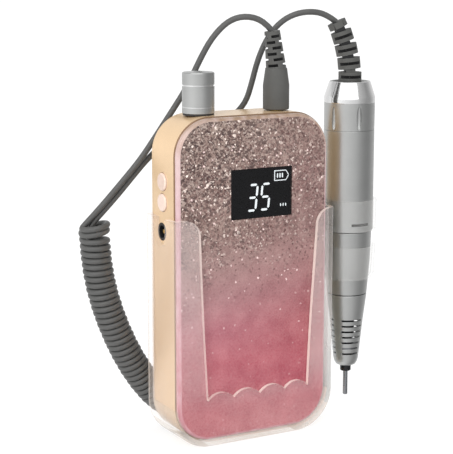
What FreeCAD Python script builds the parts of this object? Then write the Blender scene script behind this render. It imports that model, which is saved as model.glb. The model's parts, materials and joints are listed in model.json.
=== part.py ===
import FreeCAD, Part
import math
import os
import re

import Sketcher

# A battery nail drill: a slim control box standing in a clear holster, and a pen-shaped handpiece
# in the holster's side sleeve, joined by a coiled cord. Millimetres, +Z up, front towards -Y,
# origin at the middle of the holster's flat bottom.

os.makedirs("parts", exist_ok=True)
doc = FreeCAD.newDocument("NailDrill")
Vector = FreeCAD.Vector
Rotation = FreeCAD.Rotation
UP = Vector(0, 0, 1)

# ---------------------------------------------------------------- driving dimensions

SIZES = (
    ("case_wide", 82.0, "control box, side to side"),
    ("case_tall", 154.0, "control box, bottom to top"),
    ("case_foot", 2.5, "height of the box's bottom, on the holster's floor"),
    ("case_round", 18.0, "corner radius of the box seen from the front"),
    ("case_front", -10.0, "front plane of the metal frame"),
    ("case_back", 11.0, "back plane of the metal frame"),
    ("case_wall", 2.2, "wall of the metal frame"),
    ("deck_thick", 1.8, "front deck of the metal frame"),
    ("cover_thick", 1.5, "back cover"),
    ("panel_thick", 2.25, "clear front panel"),
    ("film_thick", 0.25, "glitter film under the panel"),
    ("panel_gap", 0.5, "step from the frame's edge to the panel's"),
    ("display_wide", 33.0, "display window"),
    ("display_tall", 23.5, "display window"),
    ("display_x", 3.9, "middle of the display"),
    ("display_z", 119.65, "middle of the display"),
    ("post_x", 34.3, "case screw posts, sideways"),
    ("post_low", 14.5, "lower case screw posts"),
    ("post_high", 139.5, "upper case screw posts"),
    ("post_r", 3.0, "radius of a case screw post"),
    ("board_left", -30.0, "main circuit board"),
    ("board_right", 30.5, "main circuit board"),
    ("board_low", 80.0, "main circuit board"),
    ("board_high", 137.0, "main circuit board"),
    ("board_front", -4.6, "front face of the main board"),
    ("board_thick", 1.6, "all circuit boards"),
    ("screw_r", 0.98, "self-tapping screws"),
    ("pilot_r", 1.0, "their pilot holes"),
    ("cell_r", 9.1, "18650 cell"),
    ("cell_long", 65.0, "18650 cell"),
    ("cell_x", 12.0, "the two cells, either side of the middle"),
    ("cell_y", 1.4, "middle of the cells"),
    ("cell_low", 7.3, "bottom of the cells"),
    ("knob_x", -22.5, "speed knob"),
    ("top_y", 1.0, "knob and plug, front to back"),
    ("knob_r", 7.55, "speed knob"),
    ("knob_low", 157.4, "bottom of the speed knob"),
    ("knob_high", 176.3, "top of the speed knob"),
    ("shaft_r", 3.0, "potentiometer shaft"),
    ("bush_r", 3.4, "potentiometer bushing"),
    ("plug_x", 19.5, "output socket and plug"),
    ("barrel_pin_r", 2.75, "plug barrel"),
    ("button_r", 4.2, "side buttons"),
    ("button_y", 1.6, "side buttons, front to back"),
    ("button_high", 126.3, "upper button"),
    ("button_low", 116.6, "lower button"),
    ("button_proud", 0.9, "how far a button stands out"),
    ("port_y", 2.5, "charging port, front to back"),
    ("port_z", 102.8, "charging port"),
    ("port_r", 2.9, "charging port's bore, for a 5.5 mm plug"),
    ("pin_r", 1.0, "charging port's centre pin"),
    ("holster_wide", 88.0, "holster, side to side"),
    ("holster_tall", 110.0, "top of the holster's walls"),
    ("holster_front", -15.0, "front face of the holster's lips"),
    ("holster_back", 15.1, "back face of the holster"),
    ("holster_floor", 2.5, "floor of the holster"),
    ("holster_side", 2.6, "side walls of the holster"),
    ("holster_lip", 2.0, "thickness of the front lips"),
    ("holster_rear", 2.2, "thickness of the back wall"),
    ("holster_round", 20.0, "outer bottom corners of the holster"),
    ("holster_soft", 3.5, "rounding of the holster's front and back outer edges"),
    ("pen_x", 61.0, "handpiece axis, sideways; it stands at Y = 0"),
    ("pen_r", 12.4, "handpiece barrel"),
    ("pen_bore", 11.2, "inside of the barrel"),
    ("cap_low", 145.3, "joint between barrel and rear cap"),
    ("cap_high", 168.9, "rim of the rear cap"),
    ("barrel_low", 95.3, "joint between barrel and lock collar"),
    ("collar_high", 95.0, "top of the lock collar"),
    ("collar_low", 63.2, "bottom of the lock collar"),
    ("nose_high", 62.9, "top of the nose cone"),
    ("nose_low", 25.6, "bottom of the nose cone"),
    ("tip_low", 22.5, "bottom of the spindle nose"),
    ("shank_r", 1.175, "3/32 inch bit shank"),
    ("shank_low", 9.8, "free end of the shank"),
    ("shank_high", 50.0, "held end of the shank"),
    ("cord_r", 1.45, "radius of the cord"),
    ("coil_r", 7.3, "outer radius of the coiled stretch"),
)
size = {alias: number for alias, number, note in SIZES}
sheet = doc.addObject("Spreadsheet::Sheet", "Sizes")
for row, (alias, number, note) in enumerate(SIZES, start=1):
    sheet.set(f"A{row}", alias)
    sheet.set(f"B{row}", str(number))
    sheet.setAlias(f"B{row}", alias)
    sheet.set(f"C{row}", note)
doc.recompute()

nodes = []
ALIAS = re.compile(r"[a-z]+(?:_[a-z]+)+")


def linked(text):
    """A size as an expression that other objects can follow: case_wide becomes Sizes.case_wide."""
    return ALIAS.sub(lambda found: "Sizes." + found.group(), str(text))


def number_of(text):
    """The value of such an expression now."""
    return float(sheet.evalExpression(str(text)))


def bind(thing, **sizes):
    for name, text in sizes.items():
        thing.setExpression(name, linked(text))
    return thing


def place(thing, x, y, z, turned=None):
    if turned:
        thing.Placement = FreeCAD.Placement(Vector(), turned)
    for name, text in zip("xyz", (x, y, z)):
        thing.setExpression("Placement.Base." + name, linked(text))
    return thing


def node(thing, label):
    """Names a finished sub-part, which is then written to a file of its own."""
    thing.Label = label
    nodes.append(thing)
    return thing


# ---------------------------------------------------------------- how pieces are made

def sketch_on(body, plane):
    sketch = body.newObject("Sketcher::SketchObject", body.Name + "_sketch")
    support = [feature for feature in body.Origin.OriginFeatures if feature.Role == plane][0]
    sketch.AttachmentSupport = (support, [""])
    sketch.MapMode = "FlatFace"
    return sketch


def hold(sketch, kind, *what, by=None):
    """Adds one constraint, and ties its value to the sheet when a size is given."""
    if by is None:
        sketch.addConstraint(Sketcher.Constraint(kind, *what))
        return
    index = sketch.addConstraint(Sketcher.Constraint(kind, *what, number_of(by)))
    sketch.setExpression(f"Constraints[{index}]", linked(by))


def outline(sketch, corners):
    """A closed outline of straight lines through corners, each corner tied to the sheet."""
    points = [Vector(number_of(a), number_of(b), 0) for a, b in corners]
    count = len(points)
    for start, end in zip(points, points[1:] + points[:1]):
        sketch.addGeometry(Part.LineSegment(start, end), False)
    for line in range(count):
        hold(sketch, "Coincident", line, 2, (line + 1) % count, 1)
    for line, (across, along) in enumerate(corners):
        for kind, axis, text in (("DistanceX", -2, across), ("DistanceY", -1, along)):
            if abs(number_of(text)) < 1e-9:
                hold(sketch, "PointOnObject", line, 1, axis)
            else:
                hold(sketch, kind, -1, 1, line, 1, by=text)
    return sketch


def rounded_outline(sketch, left, low, wide, tall, radius):
    """A rectangle with four equal round corners."""
    x, z, w, h, r = (number_of(text) for text in (left, low, wide, tall, radius))
    ends = (((x + r, z), (x + w - r, z)), ((x + w, z + r), (x + w, z + h - r)),
            ((x + w - r, z + h), (x + r, z + h)), ((x, z + h - r), (x, z + r)))
    for start, end in ends:
        sketch.addGeometry(Part.LineSegment(Vector(*start, 0), Vector(*end, 0)), False)
    middles = ((x + w - r, z + r), (x + w - r, z + h - r), (x + r, z + h - r), (x + r, z + r))
    for quarter, middle in enumerate(middles):
        circle = Part.Circle(Vector(*middle, 0), UP, r)
        first = math.radians(90 * quarter - 90)
        sketch.addGeometry(Part.ArcOfCircle(circle, first, first + math.pi / 2), False)
    for line in range(4):
        hold(sketch, "Tangent", line, 2, line + 4, 1)
        hold(sketch, "Tangent", line + 4, 2, (line + 1) % 4, 1)
        hold(sketch, ("Horizontal", "Vertical")[line % 2], line)
    for arc in (5, 6, 7):
        hold(sketch, "Equal", 4, arc)
    hold(sketch, "Radius", 4, by=radius)
    hold(sketch, "DistanceX", 3, 1, 1, 1, by=wide)
    hold(sketch, "DistanceY", 0, 1, 2, 1, by=tall)
    hold(sketch, "DistanceX", -1, 1, 3, 1, by=left)
    hold(sketch, "DistanceY", -1, 1, 0, 1, by=low)
    return sketch


def turned(label, profile, x, y, z=0, lean=None):
    """A body of revolution about its own Z, from (radius, height) corners."""
    body = doc.addObject("PartDesign::Body", label)
    sketch = outline(sketch_on(body, "XZ_Plane"), profile)
    turn = body.newObject("PartDesign::Revolution", label + "_turn")
    turn.Profile = sketch
    turn.ReferenceAxis = (sketch, ["V_Axis"])
    turn.Angle = 360
    return place(body, x, y, z, lean)


def plate(label, shape, front, back):
    """A body padded front to back from an outline drawn as seen from the front."""
    body = doc.addObject("PartDesign::Body", label)
    sketch = shape(sketch_on(body, "XZ_Plane"))
    pad = body.newObject("PartDesign::Pad", label + "_pad")
    pad.Profile = sketch
    pad.Reversed = True
    bind(pad, Length=f"{back} - ({front})")
    return place(body, 0, front, 0)


def case_outline(inset):
    """The box's own outline, smaller by inset all round."""
    return lambda sketch: rounded_outline(
        sketch, f"-case_wide / 2 + {inset}", f"case_foot + {inset}",
        f"case_wide - 2 * {inset}", f"case_tall - 2 * {inset}", f"case_round - {inset}")


LIE_X = Rotation(Vector(0, 1, 0), 90)       # local Z to +X
LIE_LEFT = Rotation(Vector(0, 1, 0), -90)   # local Z to -X
LIE_BACK = Rotation(Vector(1, 0, 0), -90)   # local Z to +Y


def rod(radius, length, x, y, z, lie=None):
    piece = bind(doc.addObject("Part::Cylinder", "rod"), Radius=radius, Height=length)
    return place(piece, x, y, z, lie)


def block(left, right, front, back, low, high):
    piece = doc.addObject("Part::Box", "block")
    bind(piece, Length=f"{right} - ({left})", Width=f"{back} - ({front})", Height=f"{high} - ({low})")
    return place(piece, left, front, low)


def joined(pieces, kind="Part::MultiFuse"):
    if len(pieces) == 1:
        return pieces[0]
    whole = doc.addObject(kind, "joined")
    if kind == "Part::Compound":
        whole.Links = pieces
    else:
        whole.Shapes = pieces
    return whole


def group(pieces):
    """Several separate solids kept as one node."""
    return joined(pieces, "Part::Compound")


def cut(base, *tools):
    result = doc.addObject("Part::Cut", "cut")
    result.Base = base
    result.Tool = joined(list(tools))
    return result


def hexagon(across_flats, hole, low, high, x, y):
    blank = bind(doc.addObject("Part::Prism", "hexagon"),
                 Circumradius=f"{across_flats} / sqrt(3)", Height=f"{high} - {low}")
    blank.Polygon = 6
    place(blank, x, y, low)
    return cut(blank, rod(hole, 10, x, y, f"{low} - 1"))


def feature(shape, name="shape"):
    """A shape worked out directly, where no sketch or primitive fits."""
    thing = doc.addObject("Part::Feature", name)
    thing.Shape = shape
    return thing


def rounded_path(points, name):
    """Straight runs joined by tangent arcs, each arc as large as its two runs allow."""
    edges = []
    start = points[0]
    radii = []
    for before, corner, after in zip(points, points[1:], points[2:]):
        came = (corner - before).normalize()
        goes = (after - corner).normalize()
        half_turn = came.getAngle(goes) / 2
        reach = 0.45 * min((corner - before).Length, (after - corner).Length)
        radii.append(reach / math.tan(half_turn))
        first = corner - came * reach
        last = corner + goes * reach
        bisector = (goes - came).normalize()
        centre = corner + bisector * (radii[-1] / math.cos(half_turn))
        middle = centre - bisector * radii[-1]
        edges.append(Part.LineSegment(start, first).toShape())
        edges.append(Part.Arc(first, middle, last).toShape())
        start = last
    edges.append(Part.LineSegment(start, points[-1]).toShape())
    runs = [(b - a).Length for a, b in zip(points, points[1:])]
    print(name, "radii", [round(r, 1) for r in radii], "runs", [round(r, 1) for r in runs])
    return Part.Wire(edges)


def tube(points, radius, name):
    """A round tube along a route of hand-chosen points."""
    points = [Vector(*point) for point in points]
    path = rounded_path(points, name)
    ring = Part.Wire([Part.Circle(points[0], points[1] - points[0], radius).toShape()])
    shape = path.makePipeShell([ring], True, False)
    expected = math.pi * radius ** 2 * path.Length
    print(name, "length", round(path.Length, 1), "volume ratio", round(shape.Volume / expected, 4))
    return feature(shape, name)


# ---------------------------------------------------------------- holster

def holster_outline(inset, low, high, round_by):
    """U-shaped front view: straight sides, round bottom corners, open past the top."""
    def draw(sketch):
        return rounded_outline(
            sketch, f"-holster_wide / 2 + {inset}", low,
            f"holster_wide - 2 * {inset}", f"{high} + 60 - {low}", round_by)
    return draw


def window_outline():
    """The open front between the two lips, with a scalloped sill."""
    sill, crest, top = 23.1, 26.4, size["holster_tall"]
    valleys = (-26.1, -12.1, 2.1, 16.1, 29.0)
    corner = 8.0
    left_top, right_top = -29.9, 33.8
    shoulder = top - corner

    def at(x, z):
        return Vector(x, size["holster_front"] - 1, z)

    edges = [Part.Arc(at(a, sill), at((a + b) / 2, crest), at(b, sill)).toShape()
             for a, b in zip(valleys, valleys[1:])]
    edges.append(Part.Arc(at(valleys[-1], sill), at(31.0, 62.0), at(right_top, shoulder)).toShape())
    bend = corner * (1 - math.sqrt(0.5))
    edges.append(Part.Arc(at(right_top, shoulder), at(right_top + bend, top - bend),
                          at(right_top + corner, top)).toShape())
    edges.append(Part.LineSegment(at(right_top + corner, top), at(right_top + corner, top + 5)).toShape())
    edges.append(Part.LineSegment(at(right_top + corner, top + 5), at(left_top - corner, top + 5)).toShape())
    edges.append(Part.LineSegment(at(left_top - corner, top + 5), at(left_top - corner, top)).toShape())
    edges.append(Part.Arc(at(left_top - corner, top), at(left_top - bend, top - bend),
                          at(left_top, shoulder)).toShape())
    edges.append(Part.Arc(at(left_top, shoulder), at(-28.3, 62.0), at(valleys[0], sill)).toShape())
    deep = size["holster_lip"] + 1.3
    return Part.Face(Part.Wire(edges)).extrude(Vector(0, deep, 0))


def make_holster():
    block_body = plate("holster_block", holster_outline("0", "0", "holster_tall", "holster_round"),
                       "holster_front", "holster_back")
    doc.recompute()
    block_shape = block_body.Shape
    rims = [edge for edge in block_shape.Edges if edge.BoundBox.YLength < 0.01 and edge.BoundBox.ZMin < 100]
    outer = feature(block_shape.makeFillet(size["holster_soft"], rims), "holster_outer")
    inner = plate("holster_pocket",
                  holster_outline("holster_side", "holster_floor", "holster_tall", "holster_round - 1.6"),
                  "holster_front + holster_lip", "holster_back - holster_rear")
    above = block(-60, 60, -30, 30, "holster_tall", 200)
    notch_y, notch_r, notch_z = -0.6, 5.5, 102.1
    notch = joined([rod(notch_r, 8, -48, notch_y, notch_z, LIE_X),
                    block(-48, -40, notch_y - notch_r, notch_y + notch_r, notch_z, 120)])
    window = feature(window_outline(), "holster_window")
    node(cut(outer, inner, above, notch, window), "holster_shell")


def make_sleeve():
    upper = turned("sleeve_upper", (("12.75", "95.6"), ("13.9", "95.6"), ("14.2", "110.8"), ("12.75", "110.8")),
                   "pen_x", 0)
    lower = turned("sleeve_lower", (("10.95", "71.2"), ("11.9", "71.2"), ("13.4", "73.6"), ("14.0", "87.6"),
                                    ("12.75", "87.6"), ("12.1", "74"), ("10.95", "71.8")),
                   "pen_x", 0)
    web = cut(block("holster_wide / 2", "pen_x - 10", -3.5, 3.5, 74.5, 109.5),
              rod("13.0", 60, "pen_x", 0, 60))
    node(joined([upper, lower, web]), "handpiece_sleeve")


# ---------------------------------------------------------------- control box, outside

POSTS = [(side, level) for side in ("-post_x", "post_x") for level in ("post_low", "post_high")]
STANDOFFS = [(x, z) for x in ("board_left + 4", "board_right - 4") for z in ("board_low + 4", "board_high - 4")]


def make_case_frame():
    blank = plate("frame_blank", case_outline("0"), "case_front", "case_back")
    hollow = plate("frame_hollow", case_outline("case_wall"), "case_front + deck_thick", "case_back + 1")
    tub = cut(blank, hollow)
    deck = "case_front + deck_thick"
    posts = [rod("post_r", f"case_back - ({deck}) - 0.05", x, deck, z, LIE_BACK) for x, z in POSTS]
    standoffs = [rod(2.5, f"board_front - ({deck})", x, deck, z, LIE_BACK) for x, z in STANDOFFS]
    ribs = [block(left, right, deck, "-6.2", 112, 131) for left, right in ((-34.4, -33.05), (-31.55, -30.4))]
    solid = joined([tub] + posts + standoffs + ribs)
    holes = [rod("pilot_r", 8.5, x, "case_back - 8.5", z, LIE_BACK) for x, z in POSTS]
    holes += [rod("pilot_r", 3.2, x, "board_front - 3.2", z, LIE_BACK) for x, z in STANDOFFS]
    holes += [rod("button_r + 0.07", 8, -45, "button_y", z, LIE_X) for z in ("button_high", "button_low")]
    holes.append(rod("4.15", 8, -45, "port_y", "port_z", LIE_X))
    holes.append(rod("bush_r + 0.05", 8, "knob_x", "top_y", 150))
    holes.append(rod("3.95", 8, "plug_x", "top_y", 150))
    holes.append(block("display_x - display_wide / 2 - 0.1", "display_x + display_wide / 2 + 0.1", -12, -5,
                       "display_z - display_tall / 2 - 0.1", "display_z + display_tall / 2 + 0.1"))
    node(cut(solid, *holes), "case_frame")


def display_hole(front, back):
    return block("display_x - display_wide / 2 - 0.05", "display_x + display_wide / 2 + 0.05", front, back,
                 "display_z - display_tall / 2 - 0.05", "display_z + display_tall / 2 + 0.05")


def make_front():
    film_front = "case_front - film_thick"
    panel_front = "case_front - film_thick - panel_thick"
    panel = plate("panel_blank", case_outline("panel_gap"), panel_front, film_front)
    doc.recompute()
    pad = panel.Tip
    edge_names = [f"Edge{i}" for i, edge in enumerate(pad.Shape.Edges, start=1)
                  if edge.BoundBox.YMax < 1e-4 and edge.BoundBox.YMin > -1e-4]
    rounding = panel.newObject("PartDesign::Fillet", "panel_edge")
    rounding.Base = (pad, edge_names)
    rounding.Radius = 1.1
    panel.Tip = rounding
    node(cut(panel, display_hole("-20", "0")), "front_panel")
    film = plate("film_blank", case_outline("panel_gap + 0.2"), film_front, "case_front")
    node(cut(film, display_hole("-20", "0")), "decor_film")
    node(block("display_x - display_wide / 2", "display_x + display_wide / 2", panel_front, f"{panel_front} + 1.2",
               "display_z - display_tall / 2", "display_z + display_tall / 2"), "display_window")
    node(block("display_x - display_wide / 2 + 0.3", "display_x + display_wide / 2 - 0.3",
               f"{panel_front} + 1.4", "board_front",
               "display_z - display_tall / 2 + 0.25", "display_z + display_tall / 2 - 0.25"), "display_module")


SEGMENTS = {"3": "abgcd", "5": "afgcd"}


def digit(figure, left, low, wide, tall, thick):
    """Slanted bars of a seven-segment figure, as flat outlines seen from the front."""
    half = tall / 2
    slant = math.tan(math.radians(6))
    bars = {"a": (0, tall - thick, wide, thick), "g": (0, half - thick / 2, wide, thick),
            "d": (0, 0, wide, thick), "f": (0, half, thick, half), "b": (wide - thick, half, thick, half),
            "e": (0, 0, thick, half), "c": (wide - thick, 0, thick, half)}
    pieces = []
    for name in SEGMENTS[figure]:
        x, z, w, h = bars[name]
        corners = ((x, z), (x + w, z), (x + w, z + h), (x, z + h), (x, z))
        pieces.append([(left + a + (b - half) * slant, low + b) for a, b in corners])
    return pieces


def make_display_figures():
    """The lit figures, a battery sign and three small tally blocks behind the window."""
    back = size["case_front"] - size["film_thick"] - size["panel_thick"] + 1.22
    thick = 0.12

    def raised(corners):
        wire = Part.makePolygon([Vector(x, back, z) for x, z in corners])
        return Part.Face(wire).extrude(Vector(0, thick, 0))

    def bar(left, low, wide, tall):
        return raised(((left, low), (left + wide, low), (left + wide, low + tall), (left, low + tall), (left, low)))

    left = size["display_x"] - size["display_wide"] / 2
    low = size["display_z"] - size["display_tall"] / 2
    shapes = []
    for figure, start in (("3", left + 9.8), ("5", left + 17.1)):
        bars = [raised(corners) for corners in digit(figure, start, low + 3.1, 5.6, 13.1, 1.35)]
        shapes.append(bars[0].multiFuse(bars[1:]).removeSplitter())
    sign_x, sign_z, sign_wide, sign_tall, line = left + 23.9, low + 16.7, 7.4, 4.6, 0.5
    ring = bar(sign_x, sign_z, sign_wide, sign_tall)
    ring = ring.cut(bar(sign_x + line, sign_z + line, sign_wide - 2 * line, sign_tall - 2 * line))
    shapes.append(ring)
    shapes.append(bar(sign_x + sign_wide + 0.15, sign_z + 1.4, 0.75, sign_tall - 2.8))
    shapes += [bar(sign_x + 1.1 + 1.8 * i, sign_z + 1.0, 1.2, sign_tall - 2.0) for i in range(3)]
    shapes += [bar(left + 26.8 + 1.5 * i, low + 4.1, 1.0, 1.7) for i in range(3)]
    node(feature(Part.makeCompound(shapes), "figures"), "display_figures")


def make_back():
    blank = plate("cover_blank", case_outline("0"), "case_back", "case_back + cover_thick")
    holes = [rod(1.3, 3, x, "case_back - 0.5", z, LIE_BACK) for x, z in POSTS]
    holes += [rod(2.7, 2, x, "case_back + cover_thick - 0.9", z, LIE_BACK) for x, z in POSTS]
    node(cut(blank, *holes), "back_cover")
    screws = []
    for x, z in POSTS:
        head = cut(rod(2.5, 0.8, x, "case_back + cover_thick - 0.85", z, LIE_BACK),
                   block(f"{x} - 1.5", f"{x} + 1.5", "case_back + cover_thick - 0.45", 14,
                         f"{z} - 0.3", f"{z} + 0.3"),
                   block(f"{x} - 0.3", f"{x} + 0.3", "case_back + cover_thick - 0.45", 14,
                         f"{z} - 1.5", f"{z} + 1.5"))
        screws.append(joined([head, rod("screw_r", 8.5, x, "case_back + cover_thick - 9.3", z, LIE_BACK)]))
    node(group(screws), "case_screws")


# ---------------------------------------------------------------- control box, inside

def make_main_board():
    board_back = "board_front + board_thick"
    board = block("board_left", "board_right", "board_front", board_back, "board_low", "board_high")
    node(cut(board, *[rod(1.1, 4, x, "board_front - 1", z, LIE_BACK) for x, z in STANDOFFS]), "main_board")
    screws = [joined([rod(2.1, 1.3, x, board_back, z, LIE_BACK),
                      rod("screw_r", 4.7, x, f"{board_back} - 4.65", z, LIE_BACK)]) for x, z in STANDOFFS]
    node(group(screws), "board_screws")
    chips = ((4, 118, 9, 9, 1.2), (-12, 101, 6, 5, 1.6), (14, 97, 8, 8, 4), (22, 108, 5, 6, 1.6),
             (22, 117, 5, 6, 1.6), (0, 84, 8, 5, 5), (-20, 127, 8, 4.5, 4.5), (15, 131, 8, 4.5, 4.5))
    parts = [block(x - wide / 2, x + wide / 2, board_back, f"{board_back} + {high}", z - tall / 2, z + tall / 2)
             for x, z, wide, tall, high in chips]
    parts += [rod(3.15, 7.5, x, board_back, 99, LIE_BACK) for x in (-4, 4)]
    node(group(parts), "board_components")


def make_battery():
    for index, (side, up) in enumerate((("-cell_x", True), ("cell_x", False)), start=1):
        can = ("cell_low", "cell_low + cell_long - 0.7") if up else ("cell_low + 0.7", "cell_low + cell_long")
        nub = can[1] if up else "cell_low"
        cell = joined([rod("cell_r", "cell_long - 0.7", side, "cell_y", can[0]),
                       rod(2.8, 0.7, side, "cell_y", nub)])
        node(cell, f"battery_cell_{index}")
    frames = []
    for low in (14, 62):
        bar = block(-29, 29, -8.1, 10.9, low, low + 4)
        frames.append(cut(bar, *[rod("cell_r + 0.05", 6, x, "cell_y", low - 1) for x in ("-cell_x", "cell_x")]))
    node(group(frames), "cell_spacers")
    top = "cell_low + cell_long"
    strips = [block(f"{x} - 4", f"{x} + 4", -1.6, 4.4, top, f"{top} + 0.2") for x in ("-cell_x", "cell_x")]
    strips.append(block("-cell_x - 4", "cell_x + 4", -1.6, 4.4, "cell_low - 0.2", "cell_low"))
    node(group(strips), "nickel_strips")
    start = size["cell_low"] + size["cell_long"] + 0.2
    wires = []
    for side in (-1, 1):
        route = ((side * 11, 1.4, start), (side * 11, 1.4, start + 3.4), (side * 6, 1.0, start + 5.4),
                 (side * 2, 0.2, start + 6.2), (side * 2, 0.2, 81.5))
        wires.append(tube(route, 0.6, "battery_wire"))
    node(group(wires), "battery_leads")


def make_speed_pot():
    node(turned("pot_blank", (("0", "146.6"), ("8.2", "146.6"), ("8.2", "151.9"), ("4.4", "152.6"),
                              ("4.4", "153.6"), ("bush_r", "153.6"), ("bush_r", "160.3"),
                              ("shaft_r + 0.05", "160.3"), ("shaft_r + 0.05", "148"), ("0", "148")),
                "knob_x", "top_y"), "speed_pot")
    node(hexagon("10", "bush_r + 0.02", "156.55", "158.9", "knob_x", "top_y"), "pot_nut")
    node(cut(rod(7.3, 0.7, "knob_x", "top_y", 156.5), rod(6.2, 3, "knob_x", "top_y", 155.5)), "knob_seal")


def make_knob():
    low = 148.2
    shaft = cut(rod("shaft_r", 173 - low, "knob_x", "top_y", low),
                block("knob_x - 4", "knob_x + 4", "top_y + 1.6", "top_y + 4", 162.5, 174))
    node(shaft, "pot_shaft")
    groove, deep = 170.2, 0.35
    profile = (("6.3", "knob_low"), ("knob_r", "knob_low"), ("knob_r", groove - 0.35),
               (f"knob_r - {deep}", groove - 0.2), (f"knob_r - {deep}", groove + 0.2), ("knob_r", groove + 0.35),
               ("knob_r", "knob_high - 0.7"), ("knob_r - 0.2", "knob_high - 0.2"), ("knob_r - 0.7", "knob_high"),
               ("0", "knob_high"), ("0", "173.2"), ("shaft_r + 0.02", "173.2"), ("shaft_r + 0.02", "160.6"),
               ("6.3", "160.6"))
    blank = turned("knob_blank", [(a, str(b)) for a, b in profile], "knob_x", "top_y")
    node(cut(blank, rod(1.5, 10, "knob_x", "top_y + 2", 166, LIE_BACK)), "speed_knob")
    node(rod(1.45, 5.2, "knob_x", "top_y + 1.65", 166, LIE_BACK), "knob_setscrew")


def make_buttons():
    face = "case_wide / 2 + button_proud"
    inside = "case_wide / 2 - case_wall - 0.2"
    profile = (("0", f"{inside} - 0.7"), ("button_r + 0.5", f"{inside} - 0.7"), ("button_r + 0.5", inside),
               ("button_r", inside), ("button_r", f"{face} - 0.4"), ("button_r - 0.4", face), ("0", face))
    for label, level in (("button_upper", "button_high"), ("button_lower", "button_low")):
        node(turned(label + "_blank", profile, 0, "button_y", level, LIE_LEFT), label)
    node(block(-33, -31.6, "case_front + deck_thick", 9, 109, 134), "side_board")
    switches = [joined([block(-36.4, -33, "button_y - 3", "button_y + 3", f"{z} - 3", f"{z} + 3"),
                        rod(1.7, 0.9, -36.4, "button_y", z, LIE_LEFT)]) for z in ("button_high", "button_low")]
    node(group(switches), "tact_switches")


def make_charge_jack():
    mouth = "-case_wide / 2"
    housing = joined([block(-38.7, -27.5, "port_y - 4.5", "port_y + 4.5", "port_z - 4.5", "port_z + 4.5"),
                      rod(4.1, 2.5, mouth, "port_y", "port_z", LIE_X)])
    bore = rod("port_r", 10, mouth, "port_y", "port_z", LIE_X)
    root_r = 0.6
    seat = rod(root_r, 12.5, mouth, "port_y", "port_z", LIE_X)
    node(cut(housing, bore, seat), "charge_jack")
    node(joined([rod("pin_r", 9, f"{mouth} + 1", "port_y", "port_z", LIE_X),
                 rod(root_r, 2.4, f"{mouth} + 10", "port_y", "port_z", LIE_X)]), "charge_pin")


def make_output_socket():
    node(turned("socket_blank", (("0", "138.2"), ("5.5", "138.2"), ("5.5", "151.8"), ("3.9", "151.8"),
                                 ("3.9", "156.5"), ("barrel_pin_r + 0.05", "156.5"),
                                 ("barrel_pin_r + 0.05", "143"), ("0", "143")), "plug_x", "top_y"),
         "output_socket")
    node(hexagon("10", "3.92", "151.9", "154.2", "plug_x", "top_y"), "socket_nut")
    wires = []
    for shift in (-1.2, 1.2):
        wires.append(tube(((18 + shift, 1, 138.2), (18 + shift, 1, 137), (16.8 + shift, 0.4, 135),
                           (16.8 + shift, 0.4, 133.25)), 0.45, "socket_wire"))
    for shift in (-1.8, 0, 1.8):
        wires.append(tube(((-22.5 + shift, 1, 146.6), (-22.5 + shift, 1, 141), (-20.5 + shift, -0.4, 135.5),
                           (-20.5 + shift, -0.4, 129.25)), 0.45, "pot_wire"))
    node(group(wires), "panel_leads")


# ---------------------------------------------------------------- handpiece

PEN = ("pen_x", 0)


def make_shells():
    node(turned("barrel_blank", (("pen_bore", "barrel_low"), ("pen_r", "barrel_low"), ("pen_r", "cap_low - 0.05"),
                                 ("pen_bore", "cap_low - 0.05")), *PEN), "barrel")
    cap = turned("cap_blank", (("10.2", "cap_low - 4.1"), ("pen_bore - 0.05", "cap_low - 4.1"),
                               ("pen_bore - 0.05", "cap_low"), ("pen_r", "cap_low"), ("pen_r", "158.6"),
                               ("pen_r + 0.15", "158.8"), ("pen_r + 0.15", "161.3"), ("10.1", "cap_high - 0.2"),
                               ("9.8", "cap_high"), ("8.9", "cap_high"), ("8.4", "166.8"), ("3.4", "166.8"),
                               ("3.4", "164.8"), ("8.6", "164.8"), ("10.2", "160")), *PEN)
    scoops = []
    for turn in range(6):
        angle = 60 * turn - 101
        scoop = bind(doc.addObject("Part::Ellipsoid", "grip_scoop"), Radius1=5.7, Radius2=1.5, Radius3=1.35)
        place(scoop, f"pen_x + pen_r * cos({angle})", f"pen_r * sin({angle})", 151.4, Rotation(UP, angle))
        scoops.append(scoop)
    node(cut(cap, *scoops), "rear_cap")
    node(turned("collar_blank", (("9.3", "collar_low"), ("9.75", "collar_low"), ("9.95", "collar_low + 0.3"),
                                 ("10.4", "69"), ("11.25", "80"), ("11.8", "collar_high - 0.3"),
                                 ("11.6", "collar_high"), ("9.3", "collar_high")), *PEN), "lock_collar")
    node(turned("housing_blank", (("8", "nose_high + 0.2"), ("9.2", "nose_high + 0.2"),
                                  ("9.2", "collar_high + 0.6"), ("pen_bore - 0.05", "collar_high + 0.6"),
                                  ("pen_bore - 0.05", "98"), ("4.6", "98"), ("4.6", "96.5"), ("8", "96.5")), *PEN),
         "inner_housing")


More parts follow.
